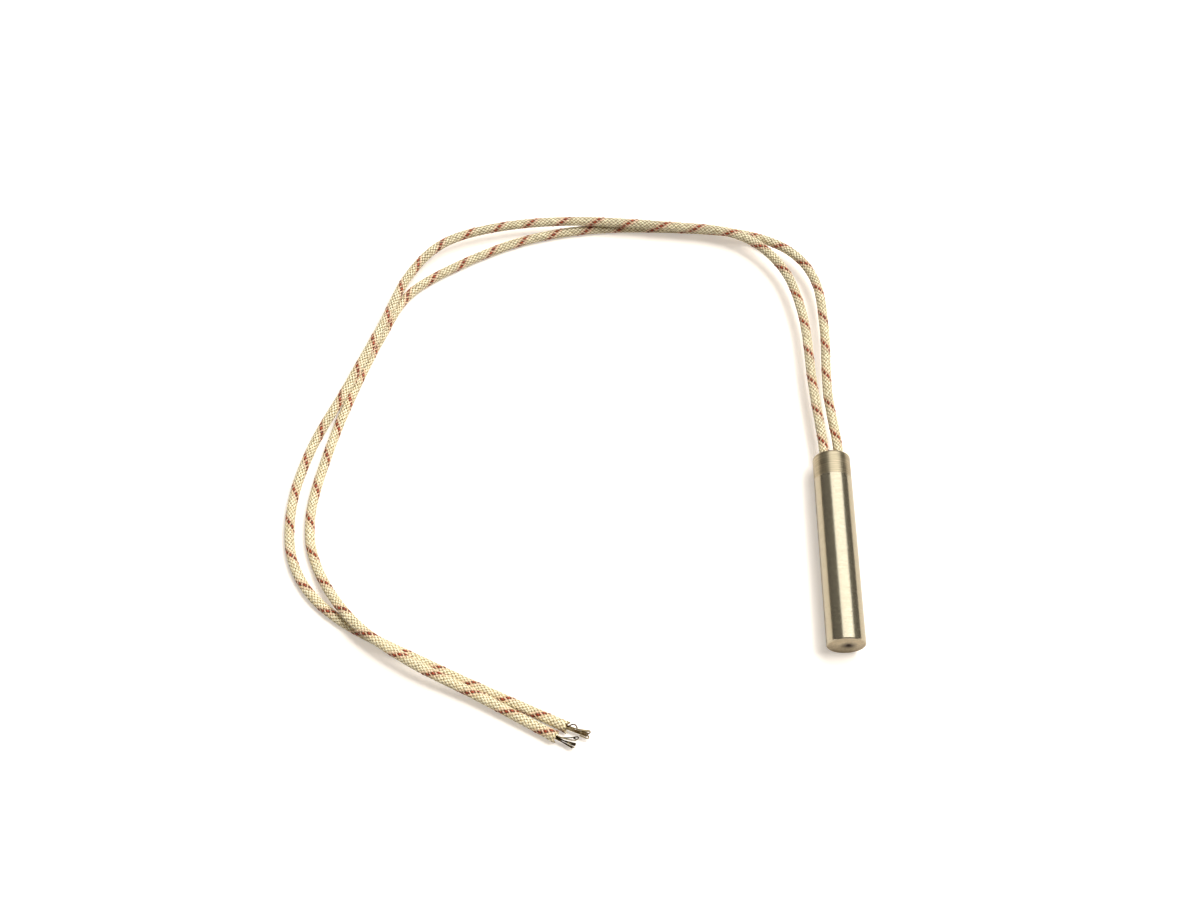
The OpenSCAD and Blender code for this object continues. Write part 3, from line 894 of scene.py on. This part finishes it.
class HEATER_OT_sheath(bpy.types.Operator):
    """Turns the sheath with its ground body, turned band, rounded lip and closed end"""

    bl_idname = "heater.sheath"
    bl_label = "Turn the sheath"

    def execute(self, context):
        sizes = context.scene.heater_sizes
        colours = context.scene.heater_colours
        bevel = sizes.end_bevel
        band_r = SHEATH_R - sizes.band_relief
        band_start = LIP - sizes.band_length
        rings = [
            (BORE_R, CLOSED_END, 0), (SHEATH_R - bevel, CLOSED_END, 0), (SHEATH_R, CLOSED_END + bevel, 0),
            (SHEATH_R, band_start, 0), (band_r, band_start + sizes.band_relief, 0)]
        for angle in np.linspace(0, math.pi / 2, LIP_STEPS):
            rings.append((
                band_r - sizes.lip_round * (1 - math.cos(angle)),
                LIP - sizes.lip_round * (1 - math.sin(angle)), 0))
        rings.append((BORE_R, LIP, 0))
        sheath = turn_solid("ground_sheath", rings, SHEATH_SIDES, hollow=True)
        sheath.data.materials.append(ground_steel_finish(colours))
        sheath.data.materials.append(turned_steel_finish(colours))
        sheath.data.materials.append(faced_steel_finish(colours, sizes))
        # The band has the turned finish, and the flat of the closed end the faced one
        for face in sheath.data.polygons:
            if face.center.y > band_start:
                face.material_index = 1
            if face.center.y < CLOSED_END + bevel / 4:
                face.material_index = 2
        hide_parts("sheath")
        rim = sizes.dimple_width / 2
        shift = sizes.dimple_shift
        depth = sizes.dimple_depth
        rings = [(BORE_R, DISC_HIGH.y, 0), (BORE_R, CLOSED_END, 0)]
        for share in FACE_RINGS:
            rings.append((BORE_R + (rim - BORE_R) * share, CLOSED_END, shift * share))
        for share, sink in DIMPLE_RINGS:
            rings.append((rim * share, CLOSED_END + depth * sink, shift))
        disc = turn_solid("faced_end_disc", rings, DISC_SIDES, hollow=False)
        disc.data.materials.append(sheath.data.materials[2])
        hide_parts("end_disc")
        return {"FINISHED"}


class HEATER_OT_insides(bpy.types.Operator):
    """Gives the seal and the pieces inside the sheath their finishes"""

    bl_idname = "heater.insides"
    bl_label = "Finish the seal and insides"

    def execute(self, context):
        colours = context.scene.heater_colours
        oxide = pressed_powder_finish("pressed_magnesium_oxide", colours.oxide, grit_mm=0.2)
        nickel = drawn_wire_finish("nickel_rod", colours.nickel, colours.strand_dull, bright_share=0.6)
        alloy = drawn_wire_finish("resistance_wire", colours.alloy, colours.strand_dull, bright_share=0.5)
        cement = pressed_powder_finish("set_cement", colours.cement, grit_mm=0.3)
        finishes = {
            oxide: ("bottom_spacer", "core", "fill", "top_spacer", "lead_bushing"),
            nickel: (
                "long_pin", "short_pin", "left_splice", "right_splice", "left_conductor", "right_conductor"),
            alloy: ("heating_coil",),
            cement: ("end_seal",),
        }
        for finish, nodes in finishes.items():
            for node in nodes:
                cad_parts[node].data.materials.clear()
                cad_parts[node].data.materials.append(finish)
        return {"FINISHED"}


class HEATER_OT_stage(bpy.types.Operator):
    """Lays the white floor and sets the lamps and the room"""

    bl_idname = "heater.stage"
    bl_label = "Set the stage"

    def execute(self, context):
        colours = context.scene.heater_colours
        bpy.ops.object.select_all(action="DESELECT")
        bpy.ops.mesh.primitive_plane_add(size=FLOOR_SIZE)
        floor = context.object
        floor.name = "floor"
        material, tree = new_material("white_floor")
        paths = add_node(tree, "ShaderNodeLightPath")
        seen = add_node(tree, "ShaderNodeMath", {
            0: paths.outputs["Is Camera Ray"], 1: paths.outputs["Is Transmission Ray"]}, operation="MAXIMUM")
        # To the eye the floor glows a little near the heater and turns into the white background further off
        away = add_node(tree, "ShaderNodeVectorMath", {
            0: add_node(tree, "ShaderNodeTexCoord").outputs["Object"]}, operation="LENGTH")
        far = add_node(tree, "ShaderNodeMapRange", {
            "Value": away.outputs["Value"], "From Min": FLOOR_NEAR, "From Max": FLOOR_FAR})
        strength = add_node(tree, "ShaderNodeMapRange", {
            "Value": far.outputs["Result"], "To Min": FLOOR_GLOW, "To Max": 1})
        lift = add_node(tree, "ShaderNodeMath", {
            0: seen.outputs[0], 1: strength.outputs["Result"]}, operation="MULTIPLY")
        paper = add_node(tree, "ShaderNodeMix", {
            0: far.outputs["Result"], 6: colours.floor, 7: (1, 1, 1, 1)}, data_type="RGBA")
        matte = add_node(tree, "ShaderNodeBsdfDiffuse", {"Color": colours.floor})
        glow = add_node(tree, "ShaderNodeEmission", {"Color": paper.outputs[2], "Strength": lift.outputs[0]})
        both = add_node(tree, "ShaderNodeAddShader", {0: matte.outputs[0], 1: glow.outputs[0]})
        finish_material(tree, both)
        floor.data.materials.append(material)

        # The steel mirrors the window as a pale stripe. The soft light comes from above, behind and to the
        # right, so the near sides are in shade, and the key lamp gives the shadows their edges.
        window = add_lamp("window", *WINDOW)
        window.visible_diffuse = False
        soft = add_lamp("soft_light", *SOFT_LIGHT)
        soft.visible_glossy = False
        add_lamp("key", *KEY_LIGHT)

        room = bpy.data.worlds.new("room")
        room.use_nodes = True
        context.scene.world = room
        tree = room.node_tree
        tree.nodes.clear()
        paths = add_node(tree, "ShaderNodeLightPath")
        ambient = add_node(tree, "ShaderNodeBackground", {"Color": colours.room, "Strength": ROOM_STRENGTH})
        way = add_node(tree, "ShaderNodeSeparateXYZ", {
            "Vector": add_node(tree, "ShaderNodeTexCoord").outputs["Generated"]})
        gloom = add_node(tree, "ShaderNodeMapRange", {
            "Value": way.outputs["Z"], "From Min": 0.05, "From Max": 0.5,
            "To Min": MIRRORED_LOW, "To Max": MIRRORED_HIGH})
        dark = add_node(tree, "ShaderNodeBackground", {
            "Color": colours.room_mirrored, "Strength": gloom.outputs["Result"]})
        white = add_node(tree, "ShaderNodeBackground", {"Color": (1, 1, 1, 1), "Strength": 1})
        lit = add_node(tree, "ShaderNodeMixShader", {
            0: paths.outputs["Is Glossy Ray"], 1: ambient.outputs[0], 2: dark.outputs[0]})
        mixed = add_node(tree, "ShaderNodeMixShader", {
            0: paths.outputs["Is Camera Ray"], 1: lit.outputs[0], 2: white.outputs[0]})
        add_node(tree, "ShaderNodeOutputWorld", {"Surface": mixed.outputs[0]})
        context.scene.view_settings.view_transform = "Standard"
        return {"FINISHED"}


class HEATER_PT_pieces(bpy.types.Panel):
    """Lists the heater's pieces in the sidebar"""

    bl_label = "Cartridge heater"
    bl_idname = "HEATER_PT_pieces"
    bl_space_type = "VIEW_3D"
    bl_region_type = "UI"
    bl_category = "Heater"

    def draw(self, context):
        for step in STEPS:
            self.layout.operator(step.bl_idname)


STEPS = (HEATER_OT_camera, HEATER_OT_leads, HEATER_OT_sheath, HEATER_OT_insides, HEATER_OT_stage)
CLASSES = (HeaterSizes, HeaterColours, *STEPS, HEATER_PT_pieces)


def register():
    for item in CLASSES:
        bpy.utils.register_class(item)
    bpy.types.Scene.heater_sizes = PointerProperty(type=HeaterSizes)
    bpy.types.Scene.heater_colours = PointerProperty(type=HeaterColours)


def unregister():
    del bpy.types.Scene.heater_colours
    del bpy.types.Scene.heater_sizes
    for item in reversed(CLASSES):
        bpy.utils.unregister_class(item)


def main():
    register()
    bpy.ops.heater.camera()
    bpy.ops.heater.leads()
    bpy.ops.heater.sheath()
    bpy.ops.heater.insides()
    bpy.ops.heater.stage()


if __name__ == "__main__":
    main()
